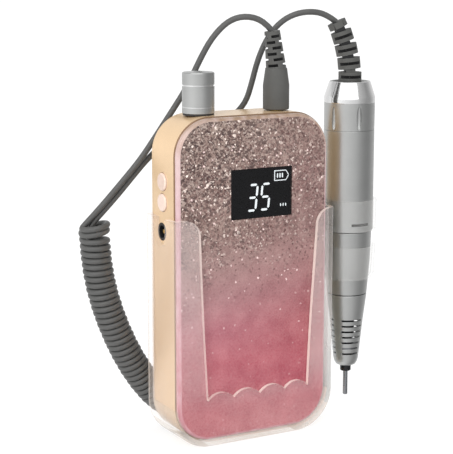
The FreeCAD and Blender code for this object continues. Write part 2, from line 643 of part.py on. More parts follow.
def make_nose():
    profile = (("2.85", "nose_low"), ("3.7", "nose_low"), ("4.9", "nose_low + 0.7"), ("5.7", "nose_low + 2"),
               ("6.2", "nose_low + 3.8"), ("6.5", "nose_low + 6.4"), ("8.3", "nose_low + 24"),
               ("9.95", "nose_high - 0.2"), ("9.75", "nose_high"), ("7.95", "nose_high"), ("7.95", "66"),
               ("6.9", "66"), ("6.9", "60"), ("8.2", "58"), ("7.1", "49"), ("5.65", "38.5"), ("5.65", "32"),
               ("5.2", "30.4"), ("4.3", "28.6"), ("2.85", "27.5"))
    cone = turned("nose_blank", profile, *PEN)
    slots = []
    first_level, pitch, tall, arc, reach = 31.9, 2.9, 0.95, 88, 12
    for column in range(3):
        for level in range(7):
            slot = Part.makeCylinder(reach, tall, Vector(0, 0, first_level + pitch * level), UP, arc)
            slot.rotate(Vector(), UP, 120 * column - 141)
            slot.translate(Vector(size["pen_x"], 0, 0))
            slots.append(slot)
    node(cut(cone, feature(Part.makeCompound(slots), "vent_slots")), "nose_cone")


def make_motor():
    node(turned("can_blank", (("1.6", "98.2"), ("10.6", "98.2"), ("10.6", "138"), ("9.8", "138"),
                              ("9.8", "99.4"), ("1.6", "99.4")), *PEN), "motor_can")
    hoop = cut(rod(9.75, 30, *PEN, 102), rod(8.3, 32, *PEN, 101))
    gap = block("pen_x - 3.5", "pen_x + 3.5", -11, 11, 101, 133)
    node(cut(hoop, gap), "motor_magnets")
    bell = cut(rod(10.6, 2.95, *PEN, 138.05), rod(1.25, 5, *PEN, 137))
    node(bell, "end_bell")
    node(group([block("pen_x + 3.6", "pen_x + 8", -1.2, 1.2, 134, 138.05),
                block("pen_x - 8", "pen_x - 3.6", -1.2, 1.2, 134, 138.05)]), "brushes")
    board = joined([rod(10.0, 1.2, *PEN, 142.6), rod(0.8, 1.6, "pen_x + 6", 0, 141),
                    rod(0.8, 1.6, "pen_x - 6", 0, 141)])
    node(board, "terminal_board")
    for label, inner, outer, low, high in (("rear_bearing", 4.03, 7.95, 76, 81), ("front_bearing", 3.03, 5.6, 33, 37.5)):
        race = (outer - inner) / 3.4
        rings = [cut(rod(outer, high - low, *PEN, low), rod(outer - race, high, *PEN, low - 1)),
                 cut(rod(inner + race, high - low, *PEN, low), rod(inner, high, *PEN, low - 1)),
                 cut(rod(outer - race, high - low - 1, *PEN, low + 0.5), rod(inner + race, high, *PEN, low - 1))]
        node(joined(rings), label)


def make_running_parts():
    node(rod(1.2, 49.5, *PEN, 91), "motor_shaft")
    rotor = cut(rod(7.9, 28, *PEN, 103), rod(1.2, 40, *PEN, 100))
    slots = []
    for turn in range(5):
        slot = Part.makeBox(6.5, 1.6, 40, Vector(4.2, -0.8, 95))
        slot.rotate(Vector(), UP, 72 * turn)
        slot.translate(Vector(size["pen_x"], 0, 0))
        slots.append(slot)
    node(cut(rotor, feature(Part.makeCompound(slots), "rotor_slots")), "rotor")
    node(cut(rod(3.5, 5, *PEN, 132.6), rod(1.2, 8, *PEN, 131)), "commutator")
    node(cut(rod(4.0, 9.3, *PEN, 86.2), rod(1.2, 6, *PEN, 91), rod(2.0, 4.8, *PEN, 86.2)), "coupling")
    node(turned("spindle_blank", (("1.95", "tip_low"), ("2.4", "tip_low"), ("2.7", "tip_low + 0.3"), ("2.7", "31.5"),
                                  ("3", "31.5"), ("3", "40"), ("4", "40"), ("4", "84"), ("2", "84"), ("2", "90.8"),
                                  ("0", "90.8"), ("0", "58"), ("1.95", "58")), *PEN), "spindle")
    collet = cut(rod(1.9, 34, *PEN, "tip_low + 0.4"), rod("shank_r + 0.015", 60, *PEN, 20))
    slits = [block("pen_x - 3", "pen_x + 3", -0.2, 0.2, 20, 42), block("pen_x - 0.2", "pen_x + 0.2", -3, 3, 20, 42)]
    node(cut(collet, *slits), "collet")
    node(turned("blank_outline", (("0", "shank_low"), ("shank_r - 0.3", "shank_low"), ("shank_r", "shank_low + 0.3"),
                                  ("shank_r", "shank_high"), ("0", "shank_high")), *PEN), "bit_blank")


# ---------------------------------------------------------------- cord, its boots and its coil

PLUG_END = Vector(17.4, 1.5, 194.0)
BOOT_BEND_R = 61.2
BOOT_BEND = 28.07
BOOT_BASE = 168.7
BOOT_SIDE = 155.0
RELIEF_SIDE = -29.0


def make_plug():
    node(cut(rod("barrel_pin_r", 13.4, "plug_x", "top_y", 143.6), rod(1.25, 12, "plug_x", "top_y", 143)),
         "plug_barrel")
    grip = turned("plug_grip", (("0", "157"), ("5.9", "157"), ("6.3", "157.4"), ("6.3", "168.6"), ("5.2", "176.5"),
                                ("4.4", "177"), ("0", "177")), "plug_x", "top_y")
    start = Vector(size["plug_x"], size["top_y"], 176.2)
    lean = PLUG_END - start
    taper = Part.makeCone(4.85, 3.7, lean.Length)
    pitch = lean.Length / 6.6
    for level in range(6):
        hand = 1 if level % 2 else -1
        low = 1.3 + pitch * level
        wide = 4.6 - 0.17 * level
        for face in (-1, 1):
            slot = Part.makeBox(wide, 4, 1.3, Vector(-wide / 2 + hand * 0.3 * wide, 0, low))
            slot.translate(Vector(0, 1.75 if face > 0 else -5.75, 0))
            taper = taper.cut(slot)
        taper = taper.cut(Part.makeBox(4, 12, 1.3, Vector(-2 - hand * (5.3 - 0.17 * level), -6, low)))
    taper.rotate(Vector(), UP, RELIEF_SIDE)
    taper.Placement = FreeCAD.Placement(start, Rotation(UP, lean)).multiply(taper.Placement)
    node(joined([grip, feature(taper, "plug_relief")]), "plug_boot")


def on_boot(along, out=0.0, side=0.0):
    """A point of the bent boot: along its middle line, out towards the bend, and to the side."""
    angle = along / BOOT_BEND_R
    x = BOOT_BEND_R - (BOOT_BEND_R - out) * math.cos(angle)
    z = (BOOT_BEND_R - out) * math.sin(angle)
    turn = Rotation(UP, BOOT_SIDE)
    return Vector(size["pen_x"], 0, BOOT_BASE) + turn.multVec(Vector(x, side, z))


def boot_piece(shape, along):
    """Stands a shape made at the origin on the boot's middle line."""
    lean = Rotation(Vector(0, 1, 0), math.degrees(along / BOOT_BEND_R))
    shape.Placement = FreeCAD.Placement(on_boot(along), Rotation(UP, BOOT_SIDE).multiply(lean))
    return shape


def make_handpiece_boot():
    long = math.radians(BOOT_BEND) * BOOT_BEND_R
    middle = Part.Arc(on_boot(0), on_boot(long / 2), on_boot(long)).toShape()
    ring = Part.Wire([Part.Circle(on_boot(0), UP, 2.5).toShape()])
    shapes = [Part.Wire([middle]).makePipeShell([ring], True, False)]
    blocks = ((0.0, 4.6, 5.65), (6.2, 5.4, 5.55), (13.1, 5.1, 5.4), (19.7, 5.3, 5.15), (26.8, long - 26.8, 4.6))
    slot_high, slot_core, edge = 1.4, 2.4, 0.8
    for low, thick, radius in blocks:
        block_shape = Part.makeCylinder(radius, thick)
        if low + thick < long - 0.1:
            wide = 2 * (radius - edge)
            for front in (slot_core, -slot_core - 6):
                corner = Vector(-wide / 2, front, (thick - slot_high) / 2)
                block_shape = block_shape.cut(Part.makeBox(wide, 6, slot_high, corner))
        shapes.append(boot_piece(block_shape, low))
    for (low, thick, radius), (above, _, _) in zip(blocks, blocks[1:]):
        start = low + thick - 0.35
        neck = Part.makeBox(4.4, 2 * radius - 2.0, above - start + 0.35, Vector(-2.2, 1.0 - radius, 0))
        shapes.append(boot_piece(neck, start))
    x = size["pen_x"]
    shapes.append(Part.makeCylinder(5.65, BOOT_BASE - 166.85 + 0.3, Vector(x, 0, 166.85)))
    shapes.append(Part.makeCylinder(3.35, 5, Vector(x, 0, 162.8)))
    shapes.append(Part.makeCylinder(5.0, 1.95, Vector(x, 0, 162.8)))
    node(feature(shapes[0].multiFuse(shapes[1:]), "boot"), "handpiece_boot")
    return on_boot(long)


# The route of the cord from the plug to the outside of the coil's first turn.
PLUG_ROUTE = ((17.4, 1.5, 194.0), (13.5, 3, 199.1), (4.9, 6, 201.3), (-2.6, 9, 198.7), (-9.5, 12, 190.8),
              (-14.8, 14, 180.6), (-20.7, 16, 167.5), (-28.8, 16.5, 156.3), (-36.1, 17.6, 145.7),
              (-43.5, 19.3, 134.8), (-52.1, 21.6, 124.5), (-60.5, 23.6, 114.8), (-67.6, 25.8, 106.8),
              (-70.7, 26.4, 100.0))
# The route from the handpiece, over and down behind the box, into the middle of the coil.
PEN_ROUTE = ((49.9, 4.8, 201.2), (41.9, 6, 202.7), (33.6, 8, 201.5), (26.6, 10.5, 197.2), (20.8, 12.6, 189.4),
             (17.0, 14.6, 179.0), (15.0, 16.4, 168.3), (12.6, 18.0, 158.8), (5.5, 19, 152.0), (-6, 19.3, 149.6),
             (-19.8, 19.5, 147.2), (-30.4, 19.9, 142.2), (-39.4, 20.9, 134.4), (-44.6, 21.6, 128.8),
             (-53.0, 23.5, 118.8), (-60.5, 25.4, 110.4), (-65.0, 26, 101.5))
# The middle line of the coiled stretch: it hangs beside the box and its foot lies on the table.
COIL_ROUTE = ((-65.0, 26, 107.0), (-64.9, 26, 90.0), (-59.9, 26, 64.7), (-47.8, 26, 36.2), (-32.0, 26, 14.6),
              (-17.0, 26, 7.5), (-3.0, 26, 7.4))


def make_cord():
    boot_end = make_handpiece_boot()
    node(tube(PLUG_ROUTE, size["cord_r"], "plug_cord"), "cord_tail_plug")
    node(tube((tuple(boot_end),) + PEN_ROUTE, size["cord_r"], "pen_cord"), "cord_tail_handpiece")
    node(tube(COIL_ROUTE, size["coil_r"], "coil_tube"), "cord_coil")


# ---------------------------------------------------------------- build, test and write

for make in (make_holster, make_sleeve, make_case_frame, make_front, make_display_figures, make_back,
             make_main_board, make_battery, make_speed_pot, make_knob, make_buttons, make_charge_jack,
             make_output_socket, make_shells, make_nose, make_motor, make_running_parts, make_plug, make_cord):
    make()
doc.recompute()

for thing in doc.Objects:
    if {"Invalid", "Error"} & set(thing.State):
        raise RuntimeError(f"{thing.Label} failed: {thing.State}")
for thing in nodes:
    if thing.Shape.isNull() or not thing.Shape.isValid() or not thing.Shape.Solids:
        raise RuntimeError(f"{thing.Label} has no sound shape")
    thing.Shape.exportStep(f"parts/{thing.Label}.step")
print(len(nodes), "sub-parts written")
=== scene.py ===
import json
import math

import bmesh
import bpy
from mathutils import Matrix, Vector
from mathutils.bvhtree import BVHTree


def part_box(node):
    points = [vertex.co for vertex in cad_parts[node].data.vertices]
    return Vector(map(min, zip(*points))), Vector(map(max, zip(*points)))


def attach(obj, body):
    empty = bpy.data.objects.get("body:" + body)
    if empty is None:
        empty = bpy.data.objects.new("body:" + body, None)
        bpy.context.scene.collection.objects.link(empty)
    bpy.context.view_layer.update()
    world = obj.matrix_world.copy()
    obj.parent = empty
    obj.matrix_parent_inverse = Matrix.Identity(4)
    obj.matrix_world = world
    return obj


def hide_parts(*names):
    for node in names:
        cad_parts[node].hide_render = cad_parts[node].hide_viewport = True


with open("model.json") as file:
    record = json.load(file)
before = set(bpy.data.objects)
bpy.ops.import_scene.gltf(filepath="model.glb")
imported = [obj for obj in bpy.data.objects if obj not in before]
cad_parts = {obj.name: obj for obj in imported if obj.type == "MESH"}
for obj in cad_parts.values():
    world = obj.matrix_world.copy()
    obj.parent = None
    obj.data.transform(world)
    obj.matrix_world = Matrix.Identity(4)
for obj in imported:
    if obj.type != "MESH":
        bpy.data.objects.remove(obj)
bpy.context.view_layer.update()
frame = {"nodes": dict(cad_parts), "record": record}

# A portable nail drill on a white table: the glitter-fronted control box in its clear holster, the
# satin handpiece in its sleeve, and the grey cord with its long coiled stretch.

MM = 0.001
TAU = 2 * math.pi

# ---------------------------------------------------------------- places taken from the frame


def middle(node):
    low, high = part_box(node)
    return (low + high) / 2


def radius_of(node):
    low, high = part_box(node)
    return (high.x - low.x) / 2


PEN = middle("barrel").to_2d()          # the handpiece's upright axis
CORD_R = 1.45 * MM
TURN_R = 5.85 * MM                      # the coil's turns, to the middle of the cord

# The cord's listed points, from the plug to the coil and from the handpiece to the coil.
PLUG_ROUTE = [Vector(p) * MM for p in (
    (17.4, 1.5, 194.0), (13.5, 3, 199.1), (4.9, 6, 201.3), (-2.6, 9, 198.7), (-9.5, 12, 190.8),
    (-14.8, 14, 180.6), (-20.7, 16, 167.5), (-28.8, 16.5, 156.3), (-36.1, 17.6, 145.7),
    (-43.5, 19.3, 134.8), (-52.1, 21.6, 124.5), (-60.5, 23.6, 114.8), (-67.6, 25.8, 106.8))]
PEN_ROUTE = [Vector(p) * MM for p in (
    (54.48, 3.04, 197.5), (49.9, 4.8, 201.2), (41.9, 6, 202.7), (33.6, 8, 201.5), (26.6, 10.5, 197.2),
    (20.8, 12.6, 189.4), (17.0, 14.6, 179.0), (15.0, 16.4, 168.3), (12.6, 18.0, 158.8),
    (5.5, 19, 152.0), (-6, 19.3, 149.6), (-19.8, 19.5, 147.2), (-30.4, 19.9, 142.2),
    (-39.4, 20.9, 134.4), (-44.6, 21.6, 128.8), (-53.0, 23.5, 118.8), (-60.5, 25.4, 110.4),
    (-67.2, 26.7, 103.6), (-66.0, 26.2, 97.5))]
# The middle line that the coil's turns go round, from its top to its foot.
COIL_ROUTE = [Vector(p) * MM for p in (
    (-65.0, 26, 107.0), (-64.9, 26, 90.0), (-59.9, 26, 64.7), (-47.8, 26, 36.2), (-32.0, 26, 14.6),
    (-17.0, 26, 7.5), (-3.0, 26, 7.4))]


# ---------------------------------------------------------------- stage, light and camera

VIEW_FROM = Vector((-0.3350, -0.5848, 0.2266))
VIEW_AT = Vector((-0.0081, 0, 0.1024))

# How bright a mirrored wall is, by compass share: 0.25 left, 0.5 in front, 0.75 right, 0 and 1 behind.
LOWER_WALL = ((0.0, 0.62), (0.17, 0.5), (0.29, 0.62), (0.36, 0.68), (0.43, 0.6), (0.5, 0.5), (0.58, 0.43),
              (0.64, 0.29), (0.71, 0.2), (0.78, 0.2), (0.86, 0.4), (1.0, 0.62))
UPPER_WALL = ((0.0, 0.5), (0.2, 0.36), (0.335, 0.38), (0.345, 1.0), (0.6, 1.0), (0.61, 0.36),
              (0.75, 0.18), (0.85, 0.3), (1.0, 0.5))
WALL_JOIN = (0.2, 0.3)                  # how steeply a direction rises where one fades to the other

# The sockets of a Mix node that is set to colours.
MIX_SHARE, MIX_FIRST, MIX_SECOND, MIX_RESULT = 0, 6, 7, 2


def linear(code):
    """A colour such as c8707e, as it looks on a screen, in the renderer's own scale."""
    parts = [int(code[i:i + 2], 16) / 255 for i in (0, 2, 4)]
    return tuple(p / 12.92 if p <= 0.04045 else ((p + 0.055) / 1.055) ** 2.4 for p in parts)


def set_ramp(ramp, stops):
    """Stops are (position, grey number or colour code)."""
    while len(ramp.elements) < len(stops):
        ramp.elements.new(0.5)
    for element, (position, colour) in zip(ramp.elements, stops):
        element.position = position
        element.color = (*linear(colour), 1) if isinstance(colour, str) else (colour, colour, colour, 1)


def make_sky():
    """An even white room; shiny pieces mirror a bright left side and back, and a darker right side."""
    world = bpy.data.worlds.new("studio")
    world.use_nodes = True
    tree = world.node_tree
    new = tree.nodes.new
    link = tree.links.new
    plain = tree.nodes["Background"]
    plain.inputs["Color"].default_value = (1, 1, 1, 1)
    plain.inputs["Strength"].default_value = 1.04
    front = Vector((VIEW_FROM.x, VIEW_FROM.y, 0)).normalized()
    right = Vector((-front.y, front.x, 0))
    way = new("ShaderNodeTexCoord").outputs["Generated"]
    angle = new("ShaderNodeMath")
    angle.operation = "ARCTAN2"
    for socket, direction in zip(angle.inputs, (right, front)):
        part = new("ShaderNodeVectorMath")
        part.operation = "DOT_PRODUCT"
        part.inputs[1].default_value = direction
        link(way, part.inputs[0])
        link(part.outputs["Value"], socket)
    share = new("ShaderNodeMapRange")
    share.inputs["From Min"].default_value = -math.pi
    share.inputs["From Max"].default_value = math.pi
    link(angle.outputs["Value"], share.inputs["Value"])
    walls = []
    for stops in (LOWER_WALL, UPPER_WALL):
        wall = new("ShaderNodeValToRGB")
        set_ramp(wall.color_ramp, stops)
        link(share.outputs["Result"], wall.inputs["Fac"])
        walls.append(wall.outputs["Color"])
    height = new("ShaderNodeSeparateXYZ")
    link(way, height.inputs["Vector"])
    raised = new("ShaderNodeMapRange")
    raised.inputs["From Min"].default_value, raised.inputs["From Max"].default_value = WALL_JOIN
    link(height.outputs["Z"], raised.inputs["Value"])
    blend = new("ShaderNodeMix")
    blend.data_type = "RGBA"
    link(raised.outputs["Result"], blend.inputs[MIX_SHARE])
    link(walls[0], blend.inputs[MIX_FIRST])
    link(walls[1], blend.inputs[MIX_SECOND])
    mirrored = new("ShaderNodeBackground")
    mirrored.inputs["Strength"].default_value = 1.5
    link(blend.outputs[MIX_RESULT], mirrored.inputs["Color"])
    either = new("ShaderNodeMixShader")
    link(new("ShaderNodeLightPath").outputs["Is Glossy Ray"], either.inputs["Fac"])
    link(plain.outputs["Background"], either.inputs[1])
    link(mirrored.outputs["Background"], either.inputs[2])
    link(either.outputs["Shader"], tree.nodes["World Output"].inputs["Surface"])
    bpy.context.scene.world = world


def make_table():
    """A wide white table that glows a little, so that it stays white round the object's soft shadow."""
    mesh = bpy.data.meshes.new("table_top")
    work = bmesh.new()
    bmesh.ops.create_grid(work, x_segments=1, y_segments=1, size=30)
    work.to_mesh(mesh)
    work.free()
    table = bpy.data.objects.new("table_top", mesh)
    bpy.context.scene.collection.objects.link(table)
    table.data.materials.append(finish("table_white", (0.35, 0.35, 0.35), 0.7, emission_color=(1, 1, 1, 1),
                                       emission_strength=0.68))
    table.visible_glossy = False


def soft_light(name, place, size, power):
    """A round lamp that faces the object and isn't mirrored in it."""
    light = bpy.data.lights.new(name, "AREA")
    light.shape = "DISK"
    light.size = size
    light.energy = power
    lamp = bpy.data.objects.new(name, light)
    lamp.location = place
    lamp.rotation_euler = (Vector((0, 0, 0.1)) - Vector(place)).to_track_quat("-Z", "Y").to_euler()
    lamp.visible_glossy = False
    bpy.context.scene.collection.objects.link(lamp)


def make_camera():
    """A long lens that looks a little down on the front, from the object's left."""
    camera = bpy.data.cameras.new("camera")
    camera.lens = 113.9
    camera.sensor_width = 36
    camera.clip_start = 0.01
    view = bpy.data.objects.new("camera", camera)
    view.location = VIEW_FROM
    view.rotation_euler = (VIEW_AT - VIEW_FROM).to_track_quat("-Z", "Y").to_euler()
    bpy.context.scene.collection.objects.link(view)
    bpy.context.scene.camera = view


# ---------------------------------------------------------------- how finishes are made

def finish(name, colour, rough, metal=0.0, **more):
    """A new material, with what is the same all over set on the shader's own sockets."""
    material = bpy.data.materials.new(name)
    material.use_nodes = True
    shader = material.node_tree.nodes["Principled BSDF"]
    shader.inputs["Base Color"].default_value = (*colour, 1)
    shader.inputs["Roughness"].default_value = rough
    shader.inputs["Metallic"].default_value = metal
    for socket, value in more.items():
        shader.inputs[socket.replace("_", " ").title().replace("Ior", "IOR")].default_value = value
    return material


class Nodes:
    """Short names for the few texture nodes that the finishes use."""

    def __init__(self, material):
        self.tree = material.node_tree
        self.shader = self.tree.nodes["Principled BSDF"]
        self.place = self.tree.nodes.new("ShaderNodeTexCoord").outputs["Object"]

    def add(self, kind, inputs=None, **settings):
        node = self.tree.nodes.new("ShaderNode" + kind)
        for name, value in settings.items():
            setattr(node, name, value)
        for name, value in (inputs or {}).items():
            if isinstance(value, bpy.types.NodeSocket):
                self.tree.links.new(value, node.inputs[name])
            else:
                node.inputs[name].default_value = value
        return node

    def stretched(self, x, y, z):
        return self.add("Mapping", {"Vector": self.place, "Scale": (x, y, z)}).outputs["Vector"]

    def noise(self, scale, detail, at=None):
        node = self.add("TexNoise", {"Vector": at or self.place, "Scale": scale, "Detail": detail})
        return node.outputs["Fac"]

    def cells(self, scale, at=None, output="Color"):
        node = self.add("TexVoronoi", {"Vector": at or self.place, "Scale": scale})
        return node.outputs[output]

    def ramp(self, value, *stops):
        node = self.add("ValToRGB", {"Fac": value})
        set_ramp(node.color_ramp, stops)
        return node.outputs["Color"]

    def axis(self, name, low, high):
        """How far along X, Y or Z, from 0 at low to 1 at high, in metres."""
        part = self.add("SeparateXYZ", {"Vector": self.place}).outputs[name]
        return self.add("MapRange", {"Value": part, "From Min": low, "From Max": high}).outputs["Result"]

    def math(self, operation, first, second):
        node = self.add("Math", operation=operation)
        for socket, value in zip(node.inputs, (first, second)):
            if isinstance(value, bpy.types.NodeSocket):
                self.tree.links.new(value, socket)
            else:
                socket.default_value = value
        return node.outputs["Value"]

    def mix(self, share, first, second, blend="MIX"):
        node = self.tree.nodes.new("ShaderNodeMix")
        node.data_type = "RGBA"
        node.blend_type = blend
        for index, value in ((MIX_SHARE, share), (MIX_FIRST, first), (MIX_SECOND, second)):
            if isinstance(value, bpy.types.NodeSocket):
                self.tree.links.new(value, node.inputs[index])
            elif index == MIX_SHARE:
                node.inputs[index].default_value = value
            else:
                node.inputs[index].default_value = (*value, 1)
        return node.outputs[MIX_RESULT]

    def over(self, base, code, share, amount):
        """Lays a colour over another where share says, as strongly as amount says."""
        return self.mix(self.math("MULTIPLY", share, amount), base, linear(code))

    def bump(self, height, distance, strength=1.0):
        node = self.add("Bump", {"Height": height, "Distance": distance, "Strength": strength})
        self.tree.links.new(node.outputs["Normal"], self.shader.inputs["Normal"])

    def feed(self, socket, value):
        self.tree.links.new(value, self.shader.inputs[socket])


def shaded(nodes, colour, scale, spread):
    """Gentle light and dark patches of a colour."""
    pale = [min(1, c * (1 + spread)) for c in colour]
    deep = [c * (1 - spread) for c in colour]
    share = nodes.ramp(nodes.noise(scale, 3), (0.3, 0.0), (0.7, 1.0))
    nodes.feed("Base Color", nodes.mix(share, deep, pale))


# ---------------------------------------------------------------- the finishes

def moulded(name, code, rough, grain=0.00002, scale=1600, **more):
    """Moulded plastic or rubber with a fine grain."""
    colour = linear(code)
    material = finish(name, colour, rough, **more)
    nodes = Nodes(material)
    shaded(nodes, colour, 140, 0.07)
    nodes.bump(nodes.noise(scale, 3), grain)
    return material


def satin_metal(name, code, rough, lines=0.45, grain=0.000006):
    """Blasted or brushed metal: fine grain and faint turning lines round an upright piece."""
    colour = linear(code)
    material = finish(name, colour, rough, 1.0)
    nodes = Nodes(material)
    shaded(nodes, colour, 90, 0.03)
    turned = nodes.noise(60, 2, nodes.stretched(1, 1, 60))
    fine = nodes.noise(2600, 2)
    both = nodes.math("ADD", nodes.math("MULTIPLY", turned, lines), fine)
    nodes.bump(both, grain)
    low, high = max(0.02, rough - 0.06), rough + 0.08
    nodes.feed("Roughness", nodes.ramp(turned, (0.3, low), (0.7, high)))
    return material


def champagne(name, code, rough):
    """Pale gold lacquer with a fine metallic flake."""
    colour = linear(code)
    material = finish(name, colour, rough, 0.35, coat_weight=0.35, coat_roughness=0.22)
    nodes = Nodes(material)
    flake = nodes.ramp(nodes.cells(5200), (0.1, 0.86), (0.9, 1.0))
    patches = nodes.ramp(nodes.noise(45, 2), (0.3, 0.0), (0.7, 1.0))
    shade = nodes.mix(patches, [c * 0.96 for c in colour], colour)
    nodes.feed("Base Color", nodes.mix(1.0, shade, flake, "MULTIPLY"))
    nodes.bump(nodes.noise(2200, 2), 0.000006)
    return material


# The panel's ground colour up its left and right sides, from the foot (0) to the top (1).
LEFT_GROUND = ((0.06, "a54854"), (0.15, "a04554"), (0.24, "a24253"), (0.35, "a05764"), (0.45, "916367"),
               (0.555, "8a6c68"), (0.66, "725b51"), (0.82, "68544a"), (1.0, "786a5d"))
RIGHT_GROUND = ((0.06, "a54854"), (0.15, "a2384c"), (0.24, "9c3144"), (0.35, "973f4a"), (0.45, "8c4d53"),
                (0.555, "8a6260"), (0.66, "70514c"), (0.82, "70534d"), (1.0, "746055"))


def glitter_ground(nodes, up, side):
    """Cloudy pink below and brown above, with fine pale dust all over."""
    ground = nodes.mix(side, nodes.ramp(up, *LEFT_GROUND), nodes.ramp(up, *RIGHT_GROUND))
    cloud = nodes.ramp(nodes.noise(85, 4), (0.32, 0.0), (0.68, 1.0))
    deep = nodes.mix(0.2, ground, linear("5c3538"))
    pale = nodes.mix(0.1, ground, linear("e8c8c2"))
    dust = nodes.ramp(nodes.cells(2300), (0.15, 0.0), (0.95, 1.0))
    return nodes.over(nodes.mix(cloud, deep, pale), "edb6b8", dust, 0.12)


def glitter_flakes(nodes, base, up, side, bent):
    """Dark and light flakes of two sizes, some near-white as painted glints, thick near the top and thinner
    on the right.
    """
    patchy = nodes.math("MULTIPLY", nodes.math("SUBTRACT", nodes.noise(70, 3), 0.5), 0.45)
    top = nodes.ramp(nodes.math("ADD", up, patchy), (0.53, 0.0), (0.66, 0.65), (0.8, 1.0))
    dense = nodes.math("MULTIPLY", top, nodes.math("SUBTRACT", 1.0, nodes.math("MULTIPLY", side, 0.5)))
    for scale, dark, pale in ((720, 0.34, 0.91), (1500, 0.36, 0.86)):
        parts = nodes.add("SeparateColor", {"Color": nodes.cells(scale, bent)})
        brown = nodes.ramp(parts.outputs["Red"], (dark - 0.14, 1.0), (dark, 0.0))
        light = nodes.ramp(parts.outputs["Red"], (pale - 0.12, 0.0), (pale, 1.0))
        # Near-white spots on some flakes: painted glints.
        glint = nodes.ramp(parts.outputs["Green"], (0.965, 0.0), (0.985, 1.0))
        tones = ((brown, 0.75, "3d2a28"), (light, 0.45, "b5a399"), (glint, 0.85, "f8e6dc"))
        for share, amount, code in tones:
            base = nodes.over(base, code, share, nodes.math("MULTIPLY", dense, amount))
    return base


def glitter_resin(name):
    """Loose silver and brown flakes near the top that settle into fine pink dust towards the bottom."""
    low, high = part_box("front_panel")
    material = finish(name, (0.5, 0.3, 0.3), 0.32, coat_weight=1.0, coat_roughness=0.04, coat_ior=1.5)
    nodes = Nodes(material)
    up = nodes.axis("Z", low.z, high.z)
    side = nodes.ramp(nodes.axis("X", low.x, high.x), (0.3, 0.0), (0.85, 1.0))
    wobble = nodes.add("TexNoise", {"Vector": nodes.place, "Scale": 420.0, "Detail": 1.0}).outputs["Color"]
    bent = nodes.mix(0.0012, nodes.place, wobble, "ADD")
    base = glitter_flakes(nodes, glitter_ground(nodes, up, side), up, side, bent)
    blues = nodes.add("SeparateColor", {"Color": nodes.cells(1250)}).outputs["Blue"]
    speck = nodes.ramp(blues, (0.03, 1.0), (0.08, 0.0))
    high_up = nodes.ramp(up, (0.36, 0.0), (0.6, 1.0))
    base = nodes.over(base, "4a2624", speck, nodes.math("MULTIPLY", high_up, 0.75))
    # A few near-white flakes lower down: painted glints.
    stray_glint = nodes.ramp(blues, (0.99, 0.0), (0.995, 1.0))
    nodes.feed("Base Color", nodes.over(base, "f2d5d2", stray_glint, nodes.ramp(up, (0.25, 0.2), (0.5, 0.8))))
    nodes.feed("Roughness", nodes.ramp(nodes.cells(1050, bent), (0.2, 0.22), (0.9, 0.5)))
    nodes.bump(nodes.cells(900, bent, "Distance"), 0.00003, 0.5)
    return material


def resin_edge(name):
    """The clear resin's rim, painted with the paler pink and lilac light that it gathers from inside."""
    low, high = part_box("front_panel")
    material = finish(name, (0.7, 0.5, 0.55), 0.18, coat_weight=0.8, coat_roughness=0.05)
    nodes = Nodes(material)
    tint = nodes.ramp(nodes.axis("Z", low.z, high.z), (0.0, "b06e78"), (0.3, "b5747e"), (0.6, "ad828a"),
                      (0.85, "bda09e"), (0.95, "a98d7e"), (1.0, "8d7560"))
    streak = nodes.ramp(nodes.noise(260, 3, nodes.stretched(1, 1, 0.4)), (0.35, 0.0), (0.7, 1.0))
    nodes.feed("Base Color", nodes.over(tint, "e2cfd2", streak, 0.3))
    nodes.bump(nodes.noise(500, 2), 0.00001)
    return material


# The clear pocket lies against the box up to the first of these heights and is plain from the second.
POCKET_FADE = (18 * MM, 34 * MM)


def clear_acrylic(name, code, thin, thick, rough, pocket=1.0, behind=0.0):
    """Clear plastic, as solid as thin says face on and as thick says where one looks along it. Pocket is
    how much of that is left where the front lies against the box, and behind how solid it is at the back."""
    colour = linear(code)
    material = finish(name, colour, rough, coat_weight=0.6, coat_roughness=0.05)
    nodes = Nodes(material)
    shaded(nodes, colour, 30, 0.02)
    edge_on = nodes.add("LayerWeight", {"Blend": 0.42}).outputs["Facing"]
    solid = nodes.ramp(edge_on, (0.0, thin), (0.55, thin * 1.5), (1.0, thick))
    clear = nodes.ramp(nodes.axis("Z", *POCKET_FADE), (0.0, pocket), (1.0, 1.0))
    streaks = nodes.ramp(nodes.noise(28, 3, nodes.stretched(1, 1, 0.35)), (0.4, 0.8), (0.68, 1.35))
    alpha = nodes.math("MULTIPLY", nodes.math("MULTIPLY", solid, streaks), clear)
    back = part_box("back_cover")[1].y
    gathered = nodes.ramp(nodes.axis("Y", back - 3 * MM, back + MM), (0.0, 0.0), (1.0, behind))
    nodes.feed("Alpha", nodes.math("MAXIMUM", alpha, gathered))
    nodes.bump(nodes.noise(120, 2), 0.00002)
    return material


def smoked_glass(name):
    """Nearly black glass that lets a lit number through."""
    material = finish(name, linear("07070a"), 0.08, coat_weight=0.3, coat_roughness=0.05, alpha=0.6)
    nodes = Nodes(material)
    nodes.feed("Roughness", nodes.ramp(nodes.noise(200, 3), (0.3, 0.07), (0.7, 0.12)))
    return material


def lit(name):
    """Cool white light from the number's own bars."""
    material = finish(name, (0.9, 0.95, 1), 0.4, emission_color=(0.92, 0.97, 1, 1), emission_strength=6.0)
    nodes = Nodes(material)
    nodes.feed("Base Color", nodes.ramp(nodes.noise(900, 2), (0.3, "e6eef2"), (0.7, "ffffff")))
    return material


def pearl(name, code):
    """Smooth glossy plastic with a soft pearly unevenness."""
    colour = linear(code)
    material = finish(name, colour, 0.24, 0.1, coat_weight=0.7, coat_roughness=0.06)
    nodes = Nodes(material)
    shaded(nodes, colour, 400, 0.05)
    nodes.bump(nodes.noise(1200, 2), 0.000005)
    return material


